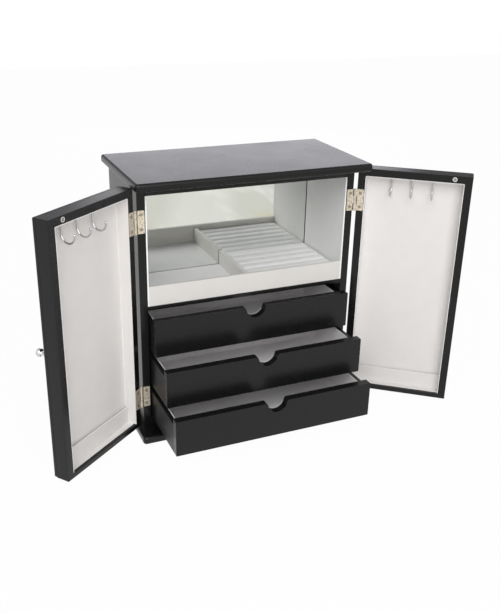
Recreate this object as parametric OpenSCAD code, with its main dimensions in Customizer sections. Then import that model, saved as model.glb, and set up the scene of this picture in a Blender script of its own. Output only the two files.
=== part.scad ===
// Jewelry box: a small cabinet with two hinged doors, three drawers and a mirrored top compartment.
// The origin is on the floor, under the centre of the cabinet. +X is right, -Y is the front, +Z is up.
// The box stands with both doors open and its drawers drawn out by different amounts.

/* [Cabinet] */
// Width of the cabinet over its two side panels
cabinet_w = 255; // [235:1:285]
// Depth of the cabinet from the front edges of its side panels to its back
cabinet_d = 110; // [104:1:130]
// Height of the whole box
box_h = 300; // [285:1:330]
// Thickness of each side panel
side_t = 9; // [8.7:0.1:11]
// Thickness of the back panel
back_t = 4; // [3:0.5:6]
// Thickness of the head board, under the top slab
head_t = 11; // [9:0.5:14]
// Thickness of the floor board, which the bottom drawer runs on
floor_t = 8.4; // [8.1:0.1:10]
// Thickness of the shelf under the top compartment
shelf_t = 5; // [4:0.5:7]
// Thickness of the two boards between the drawers
divider_t = 3; // [2:0.25:4]

/* [Top slab and base board] */
// Thickness of the top slab
slab_t = 9; // [7:0.5:12]
// Thickness of the base board
base_t = 9.5; // [7:0.5:12]
// Overhang of both boards past each side panel
overhang_side = 8; // [5:0.5:12]
// Overhang of both boards past the back
overhang_back = 3; // [1:0.5:8]
// Overhang of both boards past the front of the closed doors
overhang_front = 5.8; // [3:0.2:10]
// Radius along the edges of both boards
board_round = 3; // [1.5:0.25:3.5]
// Radius of the four corners of both boards
board_corner = 4; // [3.5:0.25:6]

/* [Drawers] */
// Height of a drawer front
drawer_h = 42; // [38:0.5:44]
// Thickness of a drawer front
front_t = 9; // [7:0.5:11]
// Gap between one drawer front and the next
front_gap = 1.5; // [1:0.1:2]
// Gap between the top drawer and the shelf
shelf_gap = 4.8; // [3:0.2:6]
// Gap between each end of a drawer and the side panel
side_gap = 1; // [0.6:0.1:1.2]
// Running gap under a drawer
run_gap = 0.3; // [0.2:0.05:0.5]
// Gap behind a closed drawer
rear_gap = 2; // [1:0.25:3]
// Thickness of the side and rear walls of a drawer
wall_t = 5; // [4:0.25:7]
// How far the walls of a drawer stay below the top of its front
wall_drop = 7; // [5:0.5:10]
// Thickness of a drawer's bottom board
bottom_t = 3; // [2:0.25:4]
// Thickness of the felt in a drawer
felt_t = 0.8; // [0.5:0.1:1.2]
// Width of the finger notch between its straight sides
notch_w = 23; // [18:0.5:26]
// Depth of the finger notch
notch_deep = 12.5; // [12:0.25:15]
// Radius of the two shoulders of the finger notch
notch_round = 2.75; // [1.5:0.25:4]
// Radius along the front edges of a drawer front
drawer_round = 2; // [1:0.25:3]
// How far the top drawer stands open
top_out = 21.3; // [10:0.1:40]
// How far the middle drawer stands open
middle_out = 57.6; // [40:0.1:70]
// How far the bottom drawer stands open
bottom_out = 85.3; // [70:0.1:88]

/* [Top compartment] */
// Thickness of the mirror
mirror_t = 3; // [2:0.25:4]
// Thickness of the board behind the mirror
backing_t = 9; // [5:0.5:12]
// Thickness of the lining on the side walls
side_lining_t = 1.5; // [1:0.1:2.5]
// Thickness of the lining on the floor
floor_lining_t = 1; // [0.5:0.1:1.5]
// Height of the tray's front wall
tray_wall_h = 22.5; // [18:0.5:30]
// Thickness of the tray's front wall
tray_wall_t = 4; // [3:0.25:6]
// Height of the tray's divider
tray_divider_h = 18; // [12:0.5:22]
// Thickness of the tray's divider
tray_divider_t = 5; // [3:0.25:7]
// Distance from the middle of the cabinet to the divider's left face
tray_divider_x = 0; // [-20:1:20]
// Number of ring rolls
roll_count = 6; // [5:1:7]
// Height of a ring roll
roll_h = 15; // [12:0.5:18]
// Radius along the top of a ring roll
roll_round = 5; // [3:0.25:5.5]
// Gap around each ring roll
roll_gap = 0.4; // [0.3:0.1:0.8]

/* [Doors] */
// Thickness of a door
door_t = 19; // [18:0.25:22]
// Gap above a door
door_top_gap = 1; // [0.6:0.1:1.4]
// Gap below a door
door_low_gap = 2.2; // [1:0.1:2.4]
// Gap between the two closed doors
door_mid_gap = 3; // [2:0.25:5]
// Angle at which the doors stand open
door_open = 142; // [135:1:145]
// Width of a door's two stiles and its top rail
stile_w = 8.5; // [8:0.1:9]
// Height of a door's bottom rail
bottom_rail_h = 5.5; // [4:0.1:5.8]
// Thickness of a door's outer panel
panel_t = 4; // [3:0.25:4.5]
// Radius along the outer edges of a door
door_round = 1.5; // [0.5:0.25:2.5]
// Thickness of the lining on a door's panel
door_lining_t = 1; // [0.5:0.1:1.2]
// Thickness of the lining on the inner edges of a door's frame
edge_lining_t = 0.6; // [0.4:0.1:0.8]
// Width of the bare strip along the bottom rail, in front of its lining
bare_strip_w = 3.5; // [2:0.25:6]

/* [Pocket and hooks] */
// Height of the pocket wall at the foot of each door
pocket_h = 20; // [15:0.5:30]
// Thickness of the pocket wall
pocket_t = 1.4; // [1:0.1:2]
// Depth of the pocket behind its wall
pocket_deep = 2.2; // [1.5:0.1:2.4]
// Thickness of the hooks' wire
wire_d = 2; // [1.5:0.1:2.5]
// Radius of a hook's bend, to the middle of the wire
hook_r = 8; // [6:0.25:8.5]
// Drop from the top rail's lining to the middle of a hook's bend
hook_drop = 13; // [8:0.5:20]
// Distance from the door's inner face to the shank of a hook
hook_deep = 10; // [8:0.25:11]
// Height of a hook's straight tip
tip_h = 1.2; // [0.5:0.1:4]
// Diameter of the ball at a hook's tip
tip_d = 2.8; // [2.6:0.1:3.4]
// Length of the shank inside the top rail
shank_in = 6; // [4:0.25:7]
// Distance from one hook to the next
hook_pitch = 23; // [18:0.5:25]
// Distance from the left door's hinge edge to its first hook
left_hook_a = 52.5; // [40:0.5:54]
// Distance from the right door's hinge edge to its first hook
right_hook_a = 37.5; // [30:0.5:50]

/* [Hinges, screws and catches] */
// Height of a hinge
hinge_h = 25; // [20:0.5:30]
// Distance from the lower end of a door to the middle of its lower hinge
low_hinge_inset = 35.8; // [30:0.1:50]
// Distance from the top of a door to the middle of its upper hinge
top_hinge_inset = 37; // [30:0.5:50]
// Thickness of a hinge leaf
leaf_t = 0.5; // [0.4:0.05:0.8]
// Width of a hinge leaf
leaf_w = 8; // [7:0.1:8.2]
// Gap between the two leaves of a closed hinge
leaf_gap = 0.2; // [0.2:0.05:0.6]
// Outer diameter of a hinge barrel
barrel_d = 3.4; // [3:0.1:4.4]
// Diameter of a hinge pin
pin_d = 1.6; // [1.2:0.1:1.8]
// Diameter of a hinge pin's two heads
pin_head_d = 2.6; // [2.4:0.1:2.9]
// Height of a hinge pin's head
pin_head_h = 0.6; // [0.4:0.1:1]
// Distance between the two screws of a hinge leaf
screw_pitch = 16; // [12:0.5:17]
// Diameter of a screw's head
screw_head_d = 3.2; // [2.6:0.1:3.6]
// Diameter of a screw's shank
screw_d = 1.5; // [1.2:0.1:1.8]
// Length of a screw
screw_l = 8; // [5:0.5:9]
// Distance from a door's free edge to the middle of its catch
catch_inset = 19.5; // [12:0.5:30]
// Diameter of the steel washer of a catch
washer_d = 5.2; // [4.8:0.1:6.5]
// Thickness of the steel washer of a catch
washer_t = 0.5; // [0.4:0.05:0.6]
// Diameter of the magnet of a catch
magnet_d = 6; // [4:0.25:7]
// Length of the magnet of a catch
magnet_l = 6; // [4:0.5:10]

/* [Knobs] */
// Diameter of a knob's head
knob_d = 9; // [7:0.25:12]
// Distance that a knob stands out from its door
knob_l = 12.5; // [11:0.25:16]
// Diameter of a knob's neck
neck_d = 4.6; // [4:0.1:6]
// Diameter of a knob's foot
foot_d = 7; // [6:0.25:8]
// Diameter of the stud that holds a knob
stud_d = 2.4; // [2:0.1:3]
// Length of the stud inside the door
stud_in = 10; // [6:0.25:12]
// Length of the stud inside the knob
stud_out = 6; // [4:0.25:7]

/* [Hidden] */
$fn = 48;

// Clearances: round a screw or stud in its hole, round a hinge pin, between a barrel and the wood,
// between the knuckles of a hinge, and at the end of the tray's divider
hole_gap = 0.1;
pin_gap = 0.1;
barrel_gap = 0.3;
knuckle_gap = 0.25;
seat_gap = 0.2;

// How far a cut runs past the face it starts from
cut = 0.5;

// Colours of the finishes
paint_black = [0.17, 0.17, 0.18];
felt_silver = [0.72, 0.71, 0.75];
cloth_cream = [0.9, 0.88, 0.87];
steel_bright = [0.8, 0.8, 0.82];
brass_pale = [0.78, 0.72, 0.58];

// Planes of the cabinet
half_w = cabinet_w / 2;
inner_x = half_w - side_t;
front_y = -cabinet_d / 2;
back_y = cabinet_d / 2;
back_in_y = back_y - back_t;
slab_z = box_h - slab_t;
head_z = slab_z - head_t;
floor_z = base_t + floor_t;
drawer_pitch = drawer_h + front_gap;
shelf_z = floor_z + run_gap + 3 * drawer_pitch - front_gap + shelf_gap;
tray_z = shelf_z + shelf_t;

// Doors and hinges: the pin stands halfway between a closed door and the cabinet
door_gap = 2 * leaf_t + leaf_gap;
pin_out = barrel_d / 2 + barrel_gap;
door_w = half_w - door_mid_gap / 2;
door_z = base_t + door_low_gap;
door_h = slab_z - door_top_gap - door_z;
panel_y = -(door_t - panel_t);
frame_in_x = door_w - stile_w;
rail_in_z = door_h - stile_w;
hinge_zs = [door_z + low_hinge_inset, door_z + door_h - top_hinge_inset];
catch_z = door_z + door_h - stile_w / 2;
catch_x = door_mid_gap / 2 + catch_inset;
knuckle_h = hinge_h / 3;
board_front_y = front_y - door_gap - door_t - overhang_front;

// Drawers: width, length and the drawer's own front face as y = 0
drawer_w = 2 * (inner_x - side_gap);
drawer_l = back_in_y - rear_gap - front_y;
drawer_in_w = drawer_w - 2 * wall_t;
drawer_wall_h = drawer_h - wall_drop;

// Top compartment
mirror_y = back_in_y - backing_t - mirror_t;
lined_x = inner_x - side_lining_t;
tray_in_y = front_y + tray_wall_t;
tray_floor_z = tray_z + floor_lining_t;

// ---- Shapes that several pieces share ----

// A board from its low corner to its high corner
module board(low, high) {
  translate(low) cube(high - low);
}

// A rectangle about the origin with round corners
module round_rect(w, d, r) {
  square([w - 2 * r, d], center = true);
  square([w, d - 2 * r], center = true);
  for (x = [-1, 1], y = [-1, 1]) translate([x * (w / 2 - r), y * (d / 2 - r)]) circle(r);
}

// A board about the origin, from z = 0, with round edges and corners
module round_board(w, d, t) {
  intersection() {
    linear_extrude(t) round_rect(w, d, board_corner);
    translate([-w / 2, 0, t / 2]) rotate([90, 0, 90]) linear_extrude(w) round_rect(d, t, board_round);
    translate([0, d / 2, t / 2]) rotate([90, 0, 0]) linear_extrude(d) round_rect(w, t, board_round);
  }
}

// The top slab or the base board: both reach past the cabinet and the closed doors
module end_board(z, t) {
  depth = back_y + overhang_back - board_front_y;
  translate([0, back_y + overhang_back - depth / 2, z])
    round_board(cabinet_w + 2 * overhang_side, depth, t);
}

// A rectangle from [0, 0] to [w, d] whose two corners at y = 0 are round
module front_round_rect(w, d, r) {
  translate([0, r]) square([w, d - r]);
  translate([r, 0]) square([w - 2 * r, d]);
  for (x = [r, w - r]) translate([x, r]) circle(r);
}

// A plate from the origin to [w, t, h] whose four edges round its face at y = 0 are round
module front_round_plate(w, t, h, r) {
  intersection() {
    linear_extrude(h) front_round_rect(w, t, r);
    rotate([90, 0, 90]) linear_extrude(w) mirror([1, -1]) front_round_rect(h, t, r);
  }
}

// A countersunk screw along +Y with the flat of its head at y = 0
module screw(gap) {
  rotate([-90, 0, 0]) {
    cone_h = (screw_head_d - screw_d) / 2;
    translate([0, 0, -gap]) cylinder(h = gap, d = screw_head_d + 2 * gap);
    cylinder(h = cone_h, d1 = screw_head_d + 2 * gap, d2 = screw_d + 2 * gap);
    cylinder(h = screw_l + gap, d = screw_d + 2 * gap);
  }
}

// ---- Cabinet ----

module top_slab() {
  color(paint_black) end_board(slab_z, slab_t);
}

module base_board() {
  color(paint_black) end_board(0, base_t);
}

// Places of the hinge screws on a leaf, as [x, z] with x measured from the leaf's barrel side
leaf_screws = [for (z = hinge_zs, s = [-1, 1]) [leaf_w / 2, z + s * screw_pitch / 2]];

module cabinet_screw_set(side, gap) {
  for (p = leaf_screws) translate([side * (half_w - p[0]), front_y - leaf_t, p[1]]) screw(gap);
}

module side_panel(side) {
  color(paint_black) difference() {
    board([side < 0 ? -half_w : inner_x, front_y, base_t], [side < 0 ? -inner_x : half_w, back_y, slab_z]);
    cabinet_screw_set(side, hole_gap);
  }
}

module back_panel() {
  color(paint_black) board([-inner_x, back_in_y, base_t], [inner_x, back_y, slab_z]);
}

// A board between the side panels, from its front edge back to the back panel
module cross_board(y, z, t) {
  board([-inner_x, y, z], [inner_x, back_in_y, z + t]);
}

module magnet_set(gap) {
  for (x = [-catch_x, catch_x]) translate([x, front_y, catch_z])
    rotate([-90, 0, 0]) cylinder(h = magnet_l + gap, d = magnet_d + 2 * gap);
}

module head_board() {
  color(paint_black) difference() {
    cross_board(front_y, head_z, head_t);
    translate([0, -cut, 0]) magnet_set(hole_gap);
    magnet_set(hole_gap);
  }
}

module catch_magnets() {
  color(steel_bright) magnet_set(0);
}

module floor_board() {
  color(paint_black) cross_board(front_y, base_t, floor_t);
}

module shelf() {
  color(paint_black) cross_board(front_y, shelf_z, shelf_t);
}

// A board under drawer number i, behind the drawer fronts
module drawer_board(i) {
  top_z = floor_z + i * drawer_pitch;
  color(paint_black) cross_board(front_y + front_t + side_gap, top_z - divider_t, divider_t);
}

module low_divider_board() {
  drawer_board(1);
}

module high_divider_board() {
  drawer_board(2);
}

// ---- Top compartment ----

module mirror_backing() {
  color(paint_black) board([-inner_x, back_in_y - backing_t, tray_z], [inner_x, back_in_y, head_z]);
}

module mirror_glass() {
  color([0.8, 0.85, 0.88]) board([-inner_x, mirror_y, tray_z], [inner_x, mirror_y + mirror_t, head_z]);
}

module wall_lining(side) {
  color(cloth_cream) board(
    [side < 0 ? -inner_x : lined_x, front_y, tray_z],
    [side < 0 ? -lined_x : inner_x, mirror_y, head_z]
  );
}

module tray_floor_lining() {
  color(felt_silver) board([-lined_x, tray_in_y, tray_z], [lined_x, mirror_y, tray_floor_z]);
}

module tray_front_wall() {
  color(cloth_cream) board([-lined_x, front_y, tray_z], [lined_x, tray_in_y, tray_z + tray_wall_h]);
}

module tray_divider() {
  color(felt_silver) board(
    [tray_divider_x, tray_in_y, tray_floor_z],
    [tray_divider_x + tray_divider_t, mirror_y - seat_gap, tray_floor_z + tray_divider_h]
  );
}

// Rolls that lie side by side from the front wall to the mirror, each with a round top
module ring_rolls() {
  pitch = (mirror_y - tray_in_y) / roll_count;
  roll_w = pitch - roll_gap;
  roll_x = tray_divider_x + tray_divider_t + roll_gap;
  roll_l = lined_x - roll_gap - roll_x;
  color(felt_silver) for (i = [0 : roll_count - 1])
    translate([roll_x, tray_in_y + (i + 0.5) * pitch, tray_floor_z]) rotate([90, 0, 90]) linear_extrude(roll_l)
      intersection() {
        translate([-roll_w / 2, 0]) square([roll_w, roll_h]);
        translate([0, 0]) round_rect(roll_w, 2 * roll_h, roll_round);
      }
}

// ---- Hinges ----

// The leaf of each hinge in the barrel's own frame: pin along Z through the origin, plate along +X.
// side is +1 for the leaf behind the pin and -1 for the leaf in front of it.
module hinge_leaf(side, knuckles) {
  plate_y = side > 0 ? leaf_gap / 2 : -leaf_gap / 2 - leaf_t;
  difference() {
    union() {
      translate([pin_out, plate_y, -hinge_h / 2]) cube([leaf_w, leaf_t, hinge_h]);
      for (k = knuckles) translate([0, 0, k * knuckle_h - knuckle_h / 2 + knuckle_gap / 2]) {
        cylinder(h = knuckle_h - knuckle_gap, d = barrel_d);
        translate([0, plate_y, 0]) cube([pin_out + cut, leaf_t, knuckle_h - knuckle_gap]);
      }
    }
    translate([0, 0, -hinge_h]) cylinder(h = 2 * hinge_h, d = pin_d + 2 * pin_gap);
    for (s = [-1, 1]) translate([pin_out + leaf_w / 2, side * door_gap / 2, s * screw_pitch / 2])
      translate([0, side > 0 ? -leaf_t : leaf_t, 0]) rotate([0, 0, side > 0 ? 0 : 180]) screw(hole_gap);
  }
}

// Moves its children from a barrel's own frame to the left or right pins of the cabinet
module at_pins(side) {
  for (z = hinge_zs) translate([side * (half_w + pin_out), front_y - door_gap / 2, z])
    mirror([side > 0 ? 1 : 0, 0, 0]) children();
}

module cabinet_hinge_leaves() {
  color(brass_pale) for (side = [-1, 1]) at_pins(side) hinge_leaf(1, [-1, 1]);
}

module hinge_pins() {
  color(brass_pale) for (side = [-1, 1]) at_pins(side) {
    cylinder(h = hinge_h, d = pin_d, center = true);
    for (s = [-1, 1]) translate([0, 0, s * (hinge_h + pin_head_h) / 2])
      cylinder(h = pin_head_h, d = pin_head_d, center = true);
  }
}

module cabinet_hinge_screws() {
  color(brass_pale) for (side = [-1, 1]) cabinet_screw_set(side, 0);
}

// ---- Doors ----
// A door is drawn in its own frame: the hinge edge at x = 0, the inner face at y = 0, the outer face
// at y = -door_t and the lower end at z = 0, as the left door lies when it is closed.

// Moves its children from a door's own frame to the open door
module at_door(side) {
  mirror([side > 0 ? 1 : 0, 0, 0])
    translate([-(half_w + pin_out), front_y - door_gap / 2, door_z]) rotate([0, 0, -door_open])
      translate([pin_out, -door_gap / 2, 0]) children();
}

// Distances of the hooks from the hinge edge of a door
function hook_as(first) = [for (i = [0 : 2]) first + i * hook_pitch];
hook_z = rail_in_z - edge_lining_t - hook_drop;

// A plain rod for a hook's shank, from the bend up into the top rail
module hook_shanks(first, gap) {
  for (a = hook_as(first)) translate([a, -hook_deep, hook_z])
    cylinder(h = hook_drop + edge_lining_t + shank_in + gap, d = wire_d + 2 * gap);
}

module door_screw_set(gap) {
  for (p = leaf_screws) translate([p[0], leaf_t, p[1] - door_z]) rotate([0, 0, 180]) screw(gap);
  translate([door_w - catch_inset, washer_t, catch_z - door_z]) rotate([0, 0, 180]) screw(gap);
}

module knob_stud_rod(gap) {
  translate([door_w - stile_w / 2, -door_t - stud_out - gap, door_h / 2]) rotate([-90, 0, 0])
    cylinder(h = stud_out + stud_in + 2 * gap, d = stud_d + 2 * gap);
}

module door_outline() {
  translate([0, -door_t, 0]) front_round_plate(door_w, door_t, door_h, door_round);
}

module door_frame(hook_a) {
  color(paint_black) difference() {
    board([0, panel_y, 0], [door_w, 0, door_h]);
    board([stile_w, panel_y - cut, bottom_rail_h], [frame_in_x, cut, rail_in_z]);
    hook_shanks(hook_a, hole_gap);
    door_screw_set(hole_gap);
    knob_stud_rod(hole_gap);
  }
}

module door_panel() {
  color(paint_black) difference() {
    intersection() {
      door_outline();
      board([-cut, -door_t - cut, -cut], [door_w + cut, panel_y, door_h + cut]);
    }
    knob_stud_rod(hole_gap);
  }
}

module door_lining(hook_a) {
  color(cloth_cream) difference() {
    board([stile_w, panel_y, bottom_rail_h], [frame_in_x, 0, rail_in_z]);
    board(
      [stile_w + edge_lining_t, panel_y + door_lining_t, bottom_rail_h + edge_lining_t],
      [frame_in_x - edge_lining_t, cut, rail_in_z - edge_lining_t]
    );
    board(
      [stile_w + edge_lining_t, -bare_strip_w, bottom_rail_h - cut],
      [frame_in_x - edge_lining_t, cut, bottom_rail_h + edge_lining_t + cut]
    );
    hook_shanks(hook_a, hole_gap);
  }
}

module door_pocket() {
  pocket_y = panel_y + door_lining_t + pocket_deep;
  pocket_z = bottom_rail_h + edge_lining_t;
  color(cloth_cream) board(
    [stile_w + edge_lining_t, pocket_y, pocket_z],
    [frame_in_x - edge_lining_t, pocket_y + pocket_t, pocket_z + pocket_h]
  );
}

module door_hooks(hook_a) {
  color(steel_bright) {
    hook_shanks(hook_a, 0);
    for (a = hook_as(hook_a)) translate([a, hook_r - hook_deep, hook_z]) {
      rotate([90, 0, -90]) mirror([0, 1, 0]) rotate_extrude(angle = 180) translate([hook_r, 0]) circle(d = wire_d);
      translate([0, hook_r, 0]) cylinder(h = tip_h, d = wire_d);
      translate([0, hook_r, tip_h]) sphere(d = tip_d);
    }
  }
}

module door_hinge_leaves() {
  color(brass_pale) for (z = hinge_zs) translate([-pin_out, door_gap / 2, z - door_z]) hinge_leaf(-1, [0]);
}

module catch_washer() {
  color(steel_bright) difference() {
    translate([door_w - catch_inset, 0, catch_z - door_z]) rotate([-90, 0, 0]) cylinder(h = washer_t, d = washer_d);
    door_screw_set(hole_gap);
  }
}

module door_screws() {
  color(brass_pale) door_screw_set(0);
}

// A turned knob: a foot, a slim neck and a flattened round head
module knob() {
  head_r = knob_d / 2;
  foot_h = 1.5;
  color(steel_bright) difference() {
    translate([door_w - stile_w / 2, -door_t, door_h / 2]) rotate([90, 0, 0]) {
      cylinder(h = foot_h, d = foot_d);
      cylinder(h = knob_l - head_r, d = neck_d);
      translate([0, 0, knob_l - head_r]) sphere(head_r);
    }
    knob_stud_rod(hole_gap);
  }
}

module knob_stud() {
  color(steel_bright) knob_stud_rod(0);
}

// ---- Drawers ----
// A drawer is drawn in its own frame: the face of its front at y = 0 and its underside at z = 0.

drawer_outs = [bottom_out, middle_out, top_out];

// Moves its children from a drawer's own frame to drawer number i, counted from the bottom
module at_drawer(i) {
  translate([0, front_y - drawer_outs[i], floor_z + run_gap + i * drawer_pitch]) children();
}

// The finger notch, cut through from y = -cut to y = deep
module finger_notch(deep) {
  straight = notch_deep - notch_w / 2;
  translate([0, deep, drawer_h]) rotate([90, 0, 0]) linear_extrude(deep + cut) {
    translate([0, -straight]) circle(d = notch_w);
    translate([-notch_w / 2, -straight]) square([notch_w, straight + cut]);
    for (s = [-1, 1]) difference() {
      translate([s * (notch_w + notch_round) / 2, (cut - notch_round) / 2])
        square([notch_round, notch_round + cut], center = true);
      translate([s * (notch_w / 2 + notch_round), -notch_round]) circle(notch_round);
      translate([s * (notch_w / 2 + notch_round), 0]) square([notch_round, 2 * notch_round], center = true);
    }
  }
}

module drawer_front() {
  color(paint_black) difference() {
    translate([-drawer_w / 2, 0, 0]) front_round_plate(drawer_w, front_t, drawer_h, drawer_round);
    finger_notch(front_t + cut);
  }
}

module drawer_box() {
  color(paint_black) difference() {
    board([-drawer_w / 2, front_t, 0], [drawer_w / 2, drawer_l, drawer_wall_h]);
    board([-drawer_in_w / 2, front_t - cut, -cut], [drawer_in_w / 2, drawer_l - wall_t, drawer_h]);
  }
}

module drawer_bottom() {
  color(paint_black) board([-drawer_in_w / 2, front_t, 0], [drawer_in_w / 2, drawer_l - wall_t, bottom_t]);
}

module drawer_felt() {
  color(felt_silver) difference() {
    board([-drawer_in_w / 2, front_t, bottom_t], [drawer_in_w / 2, drawer_l - wall_t, drawer_wall_h]);
    board(
      [felt_t - drawer_in_w / 2, front_t + felt_t, bottom_t + felt_t],
      [drawer_in_w / 2 - felt_t, drawer_l - wall_t - felt_t, drawer_h]
    );
    finger_notch(front_t + felt_t + cut);
  }
}

top_slab();
base_board();
side_panel(-1);  // left_side_panel
side_panel(1);  // right_side_panel
back_panel();
head_board();
floor_board();
shelf();
low_divider_board();
high_divider_board();
mirror_glass();  // mirror
mirror_backing();
wall_lining(-1);  // left_wall_lining
wall_lining(1);  // right_wall_lining
tray_floor_lining();
tray_front_wall();
tray_divider();
ring_rolls();
catch_magnets();
cabinet_hinge_leaves();
hinge_pins();
cabinet_hinge_screws();
at_door(-1) door_frame(left_hook_a);  // left_door_frame
at_door(-1) door_panel();  // left_door_panel
at_door(-1) door_lining(left_hook_a);  // left_door_lining
at_door(-1) door_pocket();  // left_door_pocket
at_door(-1) door_hooks(left_hook_a);  // left_door_hooks
at_door(-1) door_hinge_leaves();  // left_door_hinge_leaves
at_door(-1) door_screws();  // left_door_screws
at_door(-1) catch_washer();  // left_catch_washer
at_door(-1) knob();  // left_knob
at_door(-1) knob_stud();  // left_knob_stud
at_door(1) door_frame(right_hook_a);  // right_door_frame
at_door(1) door_panel();  // right_door_panel
at_door(1) door_lining(right_hook_a);  // right_door_lining
at_door(1) door_pocket();  // right_door_pocket
at_door(1) door_hooks(right_hook_a);  // right_door_hooks
at_door(1) door_hinge_leaves();  // right_door_hinge_leaves
at_door(1) door_screws();  // right_door_screws
at_door(1) catch_washer();  // right_catch_washer
at_door(1) knob();  // right_knob
at_door(1) knob_stud();  // right_knob_stud
at_drawer(2) drawer_front();  // top_drawer_front
at_drawer(2) drawer_box();  // top_drawer_box
at_drawer(2) drawer_bottom();  // top_drawer_bottom
at_drawer(2) drawer_felt();  // top_drawer_felt
at_drawer(1) drawer_front();  // middle_drawer_front
at_drawer(1) drawer_box();  // middle_drawer_box
at_drawer(1) drawer_bottom();  // middle_drawer_bottom
at_drawer(1) drawer_felt();  // middle_drawer_felt
at_drawer(0) drawer_front();  // bottom_drawer_front
at_drawer(0) drawer_box();  // bottom_drawer_box
at_drawer(0) drawer_bottom();  // bottom_drawer_bottom
at_drawer(0) drawer_felt();  // bottom_drawer_felt
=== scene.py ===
import math

import bmesh
import bpy
from mathutils import Matrix, Vector, noise


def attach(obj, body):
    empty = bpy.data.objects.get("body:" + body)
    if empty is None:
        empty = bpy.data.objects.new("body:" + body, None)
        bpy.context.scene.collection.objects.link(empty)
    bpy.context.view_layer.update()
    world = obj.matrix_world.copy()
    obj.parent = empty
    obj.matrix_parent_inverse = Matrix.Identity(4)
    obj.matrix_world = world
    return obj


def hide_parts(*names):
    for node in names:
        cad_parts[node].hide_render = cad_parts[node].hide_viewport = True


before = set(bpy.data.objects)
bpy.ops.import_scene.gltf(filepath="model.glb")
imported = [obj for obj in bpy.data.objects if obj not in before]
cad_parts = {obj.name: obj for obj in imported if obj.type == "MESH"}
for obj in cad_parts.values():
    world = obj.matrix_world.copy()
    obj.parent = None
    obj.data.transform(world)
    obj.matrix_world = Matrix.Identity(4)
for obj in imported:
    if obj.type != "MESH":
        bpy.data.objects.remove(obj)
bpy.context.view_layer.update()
bpy.ops.object.select_all(action="DESELECT")

# ---- Base board and top slab ----
# Two fibreboard boards that reach past the cabinet on every side. Their edges are rounded over and
# their corners softened with a router before they are sprayed satin black, and the cabinet's panels
# are glued and dowelled between them.

mm = 0.001
board_wide = 271 * mm
board_front = -81 * mm
board_back = 58 * mm
base_top = 9.5 * mm
slab_under = 291 * mm
slab_top = 300 * mm


def take_up(piece):
    """Puts one piece alone on the bench."""
    bpy.ops.object.select_all(action="DESELECT")
    bpy.context.view_layer.objects.active = piece
    piece.select_set(True)


def set_down(name=None):
    """Fixes the piece on the bench in its place and names it."""
    bpy.ops.object.transform_apply(location=True, rotation=True, scale=True)
    piece = bpy.context.object
    if name:
        piece.name = piece.data.name = name
    return piece


def blank(name, low, high):
    """A rough board from its low corner to its high corner, ready to be shaped."""
    low, high = Vector(low), Vector(high)
    bpy.ops.mesh.primitive_cube_add(size=1, location=(low + high) / 2)
    bpy.context.object.scale = high - low
    return set_down(name)


def open_up(piece):
    """Puts a piece on the bench to be worked on all over."""
    take_up(piece)
    bpy.ops.object.mode_set(mode="EDIT")
    bpy.ops.mesh.select_all(action="SELECT")


def close_up():
    """Ends the work on the piece on the bench."""
    bpy.ops.object.mode_set(mode="OBJECT")


def pick(kind, wanted):
    """Selects only those faces or edges of the piece on the bench that are wanted."""
    bpy.ops.mesh.select_mode(type="FACE" if kind == "faces" else "EDGE")
    bpy.ops.mesh.select_all(action="DESELECT")
    shape = bmesh.from_edit_mesh(bpy.context.object.data)
    for item in getattr(shape, kind):
        if wanted(item):
            item.select_set(True)
    bmesh.update_edit_mesh(bpy.context.object.data)


def runs_along(edge, axis):
    """True if an edge runs along X, Y or Z, which are 0, 1 and 2."""
    way = (edge.verts[1].co - edge.verts[0].co).normalized()
    return abs(way[axis]) > 0.99


def lies_at(edge, axis, place):
    """True if both ends of an edge are at that place along an axis."""
    return all(abs(v.co[axis] - place) < 1e-6 for v in edge.verts)


def round_over(radius, steps):
    """Rounds the selected edges and ends the work."""
    bpy.ops.mesh.bevel(offset=radius, segments=steps, affect="EDGES", clamp_overlap=True)
    close_up()


def round_edges(piece, radius, steps, wanted=None):
    """Rounds the wanted edges of a piece, or all of them."""
    open_up(piece)
    if wanted:
        pick("edges", wanted)
    round_over(radius, steps)


def apply_modifier(piece, kind, **settings):
    """Gives a piece one modifier with its settings and applies it."""
    take_up(piece)
    bpy.ops.object.modifier_add(type=kind)
    modifier = piece.modifiers[-1]
    for setting, value in settings.items():
        setattr(modifier, setting, value)
    bpy.ops.object.modifier_apply(modifier=modifier.name)


def smooth(piece, angle=40, weighted=True):
    """Shades a piece smooth over its rounded edges, with its flat faces left flat."""
    take_up(piece)
    bpy.ops.object.shade_smooth_by_angle(angle=math.radians(angle))
    if weighted:
        apply_modifier(piece, "WEIGHTED_NORMAL", keep_sharp=True)


def mark(piece, label, wanted):
    """Marks the wanted faces of a piece, for its material to read."""
    marks = piece.data.attributes.new(label, "FLOAT", "CORNER")
    for face in piece.data.polygons:
        for corner in face.loop_indices:
            marks.data[corner].value = float(wanted(face))


def mark_eased(piece):
    """Marks the eased edges of a board, where its paint is thinner."""
    mark(piece, "eased", lambda face: max(abs(part) for part in face.normal) < 0.995)


def feed(tree, value, socket):
    """Sets a socket to a value, or links another node's output to it."""
    if isinstance(value, bpy.types.NodeSocket):
        tree.links.new(value, socket)
    elif value is not None:
        socket.default_value = value


def add_node(tree, kind, values=(), **settings):
    """Adds a node with its settings, and feeds its inputs in their order."""
    node = tree.nodes.new("ShaderNode" + kind)
    for setting, value in settings.items():
        setattr(node, setting, value)
    for socket, value in zip(node.inputs, values):
        feed(tree, value, socket)
    return node


def on_piece(tree):
    """The place on the piece, in metres."""
    return add_node(tree, "TexCoord").outputs["Object"]


def marked(tree, label):
    """1 on the marked faces of the piece and 0 elsewhere."""
    return add_node(tree, "Attribute", attribute_name=label).outputs["Fac"]


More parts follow.
